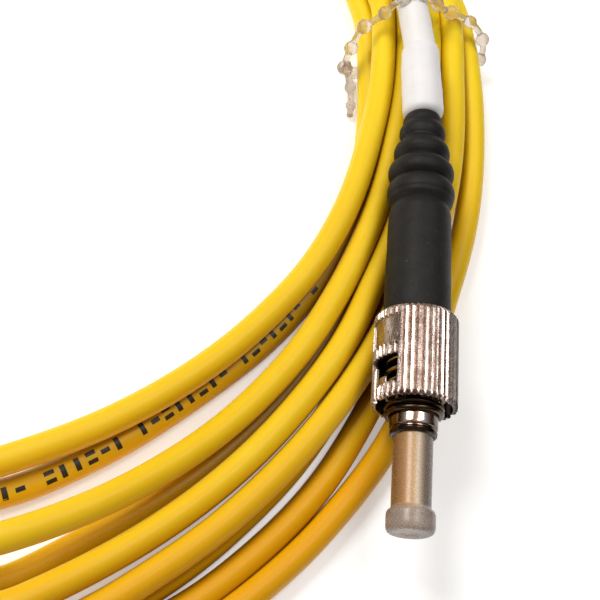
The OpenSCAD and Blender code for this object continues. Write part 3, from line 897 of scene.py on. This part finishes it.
LEAD = [(43, -4, 9.3), (43, 4, 9.3), (43, 11.5, 9.3), (42.55, 18, 9.3), (42.25, 22, 9.3), (40.7, 31, 9.0), (39.45, 38, 8.8),
        (36.6, 44, 7.9)]
TIE = [(34.6, 22, 5.2), (35.5, 24.3, 7.1), (37.2, 25.6, 8.1), (39.1, 27.2, 9.9), (41.2, 28, 11.9), (43.7, 28.5, 10.1),
       (45.9, 29.2, 8.3), (48.2, 29.6, 7.4), (50.2, 29.2, 6.9), (52, 28.4, 5.4), (52.7, 27.6, 3.1), (51.6, 26.8, .85),
       (48.2, 26, .85), (44.7, 25.2, .85), (41.2, 24.3, .85), (37.7, 23, .85), (35.3, 21.9, 1.3), (34.6, 21.4, 3.2)]
TAIL = [(34.8, 21.5, 3.9), (35.1, 20.9, 2.9), (35.7, 20.2, 1.8), (36.15, 19.3, 1.05), (36.3, 18.2, 0.78), (36.35, 17.0, 0.74), (36.3, 15.9, 0.74)]


def flip(pts, side):
    return np.array([(side * x, y, z) for x, y, z in pts], float)


def beads(name, P, mat, closed, pitch, big, thin, sides=12, step=0.16, start=0.0, up=(0, 0, 1)):
    """a thread with round beads, one mesh"""
    L = np.concatenate([[0], np.cumsum(np.linalg.norm(np.diff(P, axis=0), axis=1))])
    total = L[-1] + (np.linalg.norm(P[0] - P[-1]) if closed else 0)
    n = max(8, int(round(total / step)))
    Q = np.vstack([P, P[:1]]) if closed else P
    LQ = np.append(L, total) if closed else L
    s = np.arange(n) * total / n if closed else np.linspace(0, total, n + 1)
    C = np.stack([np.interp(s, LQ, Q[:, i]) for i in range(3)], 1)
    count = max(1, int(round(total / pitch)))
    real = total / count
    d = np.abs((s - start + real / 2) % real - real / 2)
    size = big * (1 + 0.06 * np.sin(np.round((s - start) / real) * 2.4))
    rad = np.maximum(thin, np.sqrt(np.clip(size ** 2 - d ** 2, 0, None)))
    return tube(name, C, rad, sides, mat, closed=closed, up=up, sharp=60)


for s, side in (("a", 1), ("b", -1)):
    nut = coupling_nut("coupling_nut_shell_" + s, side, M["nut"])
    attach(nut, "nut_" + s)
    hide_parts("coupling_nut_" + s)

    # five open turns between closed ends
    t = np.linspace(0, 1, 7 * 40 + 1)
    turns = 7.0
    lay = np.interp(t * turns, [0, 1, 6, 7], [0.92, 1.38, 7.5, 7.98])
    a = 2 * np.pi * turns * t
    P = np.stack([side * CX + 2.95 * np.sin(a), NUT_Y + lay, CZ + 2.95 * np.cos(a)], 1)
    spring = tube("push_spring_" + s, P, 0.25, 12, M["spring"], up=(0, 1, 0), sharp=None)
    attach(spring, "cord")
    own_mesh(spring)
    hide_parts("spring_" + s)

    # snap ring in front of the spring: two turns of dark wire round the barrel
    t = np.linspace(0, 1, 150)
    a = 2 * np.pi * 1.93 * t + 2.2
    P = np.stack([side * CX + (2.78 + 0.06 * t) * np.sin(a), NUT_Y - 0.80 + 0.74 * smooth01((t - 0.25) / 0.5), CZ + (2.78 + 0.06 * t) * np.cos(a)], 1)
    snap = tube("snap_ring_" + s, P, 0.31, 14, M["snap"], up=(0, 1, 0), sharp=None)
    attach(snap, "cord")
    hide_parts("retaining_ring_" + s)

    barrel = lathe("barrel_shell_" + s, densify(fillet([
        (9.5, 1.3), (-2.5, 1.3), (-2.85, 2.06), (-3.02, 2.2, .05), (-3.02, 2.42, .12), (-2.62, 2.5, .12), (-2.50, 2.30, .02),
        (-2.36, 2.30, .02), (-2.26, 2.48, .08), (-2.05, 2.52, .1), (9.5, 2.52)], 0.04), 0.6), side, M["chrome"], 96, sharp=40)
    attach(barrel, "cord")
    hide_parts("front_barrel_" + s)

    washer = lathe("washer_plate_" + s, fillet([(8.27, 2.6), (8.27, 3.4, .08), (8.57, 3.4, .08), (8.57, 2.6), (8.27, 2.6)], 0.06),
                   side, M["washer"], 64)
    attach(washer, "washer_" + s)
    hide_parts("thrust_washer_" + s)

    cap = lathe("cap_shell_" + s, fillet([
        (-10.2, 0.0), (-10.2, 1.30, .3), (-3.0, 1.33, .1), (-3.0, 1.92, .1), (-3.14, 2.05, .1), (-10.5, 2.02, .15),
        (-10.72, 2.2, .12), (-10.8, 2.36, .15), (-11.1, 2.475, .25), (-12.45, 2.475, .35), (-12.85, 2.34, .25), (-13.0, 2.0, .3),
        (-12.96, 1.1, .4), (-12.85, 0.6, .3), (-12.85, 0.0)], 0.1), side, M["cap"], 96, closed=False, sharp=60)
    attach(cap, "cap_" + s)
    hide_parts("dust_cap_" + s)

    boot = lathe("ribbed_boot_" + s, densify(BOOT, 0.22), side, M["boot"], 112, wobble=boot_wobble(side), sharp=50)
    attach(boot, "cord")
    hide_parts("boot_" + s)

    P = smooth_line(flip(LEAD, side), 0.25)
    L = np.concatenate([[0], np.cumsum(np.linalg.norm(np.diff(P, axis=0), axis=1))])
    y = P[:, 1]
    sel = (y >= 11.2) & (y <= 22.3)
    Q, q = P[sel], L[sel] - L[sel][0]
    rad = np.interp(q, [0, .25, .5, .8, 1.4, 4, 7, 8.9, 9.5, 9.75, 9.9, 10.0, 11.2], [1.6, 2.0, 2.28, 2.38, 2.43, 2.40, 2.34, 2.29, 2.26, 2.18, 2.05, 1.90, 1.78])
    rad = rad * (1 + 0.006 * np.sin(2.1 * q) + 0.004 * np.sin(5.3 * q + 1))
    sleeve = tube("sleeve_skin_" + s, Q, rad, 72, M["sleeve"],
                  shape=lambda a: 1 + 0.010 * np.sin(2 * a + 0.6) + 0.006 * np.sin(3 * a + 2.0) + 0.003 * np.sin(7 * a), sharp=70)
    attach(sleeve, "cord")
    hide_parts("marker_sleeve_" + s)

    sel = (y >= 20.6) & (y <= 38.0)
    Q, q = P[sel], L[sel] - L[sel][0]
    rad = np.interp(q, [0, 0.4, 16.0, 16.5, 16.9], [1.74, 1.92, 1.86, 1.80, 1.64]) * (1 + 0.006 * np.sin(1.7 * q))

    def overlap(a):
        t = (a / (2 * np.pi) + 0.62) % 1.0           # a lap joint down the side
        return 1 + 0.035 * smooth01(t / 0.04) * (1 - t) ** 3
    wrap = tube("label_skin_" + s, Q, rad, 72, M["label"], shape=overlap, sharp=40)
    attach(wrap, "cord")
    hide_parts("label_wrap_" + s)

    tie = beads("beaded_tie_" + s, smooth_line(flip(TIE, side), 0.3, closed=True), M["tie"], True, 3.02, 0.88, 0.42, start=0.5)
    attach(tie, "cord")
    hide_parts("cable_tie_" + s)
    tail = beads("tie_tail_" + s, smooth_line(flip(TAIL, side), 0.2), M["tie"], False, 2.2, 0.70, 0.42, start=0.9)
    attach(tail, "cord")
    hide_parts("tie_head_" + s)

# ------------------------------------------------------------------ the parts that keep their CAD shape
for s in "ab":
    for nd, key in (("ferrule_", "ceramic"), ("rear_body_", "washer"), ("crimp_sleeve_", "crimp"), ("buffer_tube_", "buffer")):
        ob = frame["nodes"][nd + s]
        for i in range(len(ob.material_slots)):
            ob.material_slots[i].material = M[key]

# ------------------------------------------------------------------ floor and light
me = bpy.data.meshes.new("floor")
s = 3.0
me.from_pydata([(-s, -s, 0), (s, -s, 0), (s, s, 0), (-s, s, 0)], [], [(0, 1, 2, 3)])
floor = link(bpy.data.objects.new("floor", me))
fm, fnt, fb = new_mat("floor_pale")
fv = coords(fnt)
fnt.links.new(ramp(fnt, noise(fnt, fv, 0.02, 2), [(0.3, (0.93, 0.93, 0.93)), (0.7, (0.95, 0.95, 0.95))]), fb.inputs["Base Color"])
fb.inputs["Roughness"].default_value = 0.9
fb.inputs["Specular IOR Level"].default_value = 0.1
fb.inputs["Emission Color"].default_value = (1, 1, 1, 1)
fb.inputs["Emission Strength"].default_value = 0.35
me.materials.append(fm)

world = bpy.data.worlds.new("world")
bpy.context.scene.world = world
world.use_nodes = True
wnt = world.node_tree
bg = wnt.nodes["Background"]
# a soft studio: light overhead, dim and warm towards the horizon
wtc = node(wnt, "ShaderNodeTexCoord")
wdot = node(wnt, "ShaderNodeVectorMath", operation="DOT_PRODUCT")
wdot.inputs[1].default_value = (-0.25, 0.1, 0.96)
wnt.links.new(wtc.outputs["Generated"], wdot.inputs[0])
wnt.links.new(ramp(wnt, remap(wnt, wdot.outputs["Value"], -0.2, 1.0, 0.0, 1.0),
                   [(0.0, (0.05, 0.035, 0.025)), (0.3, (0.13, 0.10, 0.08)), (0.6, (0.42, 0.38, 0.35)), (0.9, (0.85, 0.83, 0.80))]),
              bg.inputs["Color"])
bg.inputs["Strength"].default_value = 0.5
# past the floor's edge the view ends in a plain pale wall
wall = node(wnt, "ShaderNodeBackground")
wall.inputs["Color"].default_value = (0.88, 0.88, 0.88, 1)
wall.inputs["Strength"].default_value = 1.0
wmix = node(wnt, "ShaderNodeMixShader")
wnt.links.new(node(wnt, "ShaderNodeLightPath").outputs["Is Camera Ray"], wmix.inputs[0])
wnt.links.new(bg.outputs[0], wmix.inputs[1])
wnt.links.new(wall.outputs[0], wmix.inputs[2])
wnt.links.new(wmix.outputs[0], wnt.nodes["World Output"].inputs["Surface"])


def area(name, loc, target, size, power, color=(1, 1, 1)):
    ld = bpy.data.lights.new(name, "AREA")
    ld.shape = "RECTANGLE"
    ld.size, ld.size_y = size
    ld.energy = power
    ld.color = color
    ob = link(bpy.data.objects.new(name, ld))
    ob.location = loc
    ob.rotation_mode = "QUATERNION"
    ob.rotation_quaternion = (Vector(target) - Vector(loc)).to_track_quat("-Z", "Y")
    return ob


area("key", (-0.20, 0.13, 0.34), (0.02, 0.0, 0.0), (0.16, 0.16), 1.12, (1.0, 0.985, 0.96))
area("top", (0.13, 0.10, 0.42), (0.03, 0.0, 0.0), (0.10, 0.26), 0.54, (1.0, 0.99, 0.98))
